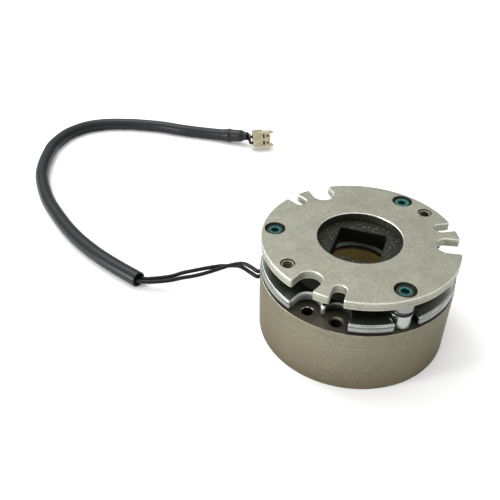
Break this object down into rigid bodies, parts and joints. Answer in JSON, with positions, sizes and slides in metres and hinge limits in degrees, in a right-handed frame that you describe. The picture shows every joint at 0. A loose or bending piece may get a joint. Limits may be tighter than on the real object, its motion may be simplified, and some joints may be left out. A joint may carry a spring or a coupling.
{
  "type": "spring applied brake",
  "caption": "Round electromagnetic brake: coil yoke, sprung armature, friction rotor with a square hub bore, notched side plate on spacers, and a sleeved lead with a plug connector.",
  "frame": {"origin": "centre of the yoke's bottom face, on the shaft axis", "axes": "+Z along the shaft axis from the yoke towards the side plate; +X through the middle of a mounting notch"},
  "size_m": [0.1586, 0.1369, 0.0296],
  "materials": {
    "yoke_steel": "turned steel with a thin warm grey plating, satin",
    "bobbin_plastic": "moulded, matte",
    "copper_winding": "enamelled copper wire",
    "potting_resin": "cast resin",
    "spring_steel": "drawn spring wire",
    "bright_zinc": "steel with bright zinc plating",
    "friction_lining": "moulded friction material, grainy and matte",
    "plate_steel": "stamped steel, tumbled, matte warm grey",
    "black_screw_steel": "black oxide",
    "bush_rubber": "moulded, matte",
    "wire_insulation": "extruded black insulation, glossy",
    "sleeve_vinyl": "extruded soft vinyl tube, satin",
    "shrink_tubing": "heat shrink, satin",
    "connector_nylon": "moulded ivory nylon",
    "terminal_tin": "formed contact, dull"
  },
  "bodies": {
    "stator": {"stator_yoke": "yoke_steel", "coil_bobbin": "bobbin_plastic", "coil_winding": "copper_winding", "coil_potting": "potting_resin", "torque_spring_1": "spring_steel", "torque_spring_2": "spring_steel", "torque_spring_3": "spring_steel", "torque_spring_4": "spring_steel", "torque_spring_5": "spring_steel", "torque_spring_6": "spring_steel", "side_plate": "plate_steel", "spacer_1": "bright_zinc", "spacer_2": "bright_zinc", "spacer_3": "bright_zinc", "spacer_screw_1": "black_screw_steel", "spacer_screw_2": "black_screw_steel", "spacer_screw_3": "black_screw_steel", "lead_bush": "bush_rubber", "lead_wire_1": "wire_insulation", "lead_wire_2": "wire_insulation", "lead_sleeve": "sleeve_vinyl", "shrink_tube": "shrink_tubing", "connector_wire_1": "wire_insulation", "connector_wire_2": "wire_insulation", "connector_housing": "connector_nylon", "connector_terminal_1": "terminal_tin", "connector_terminal_2": "terminal_tin"},
    "armature": {"armature_plate": "bright_zinc"},
    "rotor": {"friction_rotor": "friction_lining"}
  },
  "joints": [
    {"name": "armature_slide", "type": "slide", "parent": "stator", "child": "armature", "axis": [0, 0, -1], "range_m": [0, 0.0005], "stiffness_N_per_m": 18000, "deforming": ["torque_spring_1", "torque_spring_2", "torque_spring_3", "torque_spring_4", "torque_spring_5", "torque_spring_6"]},
    {"name": "rotor_spin", "type": "hinge", "parent": "stator", "child": "rotor", "pos_m": [0, 0, 0.02488], "axis": [0, 0, 1], "continuous": true}
  ]
}
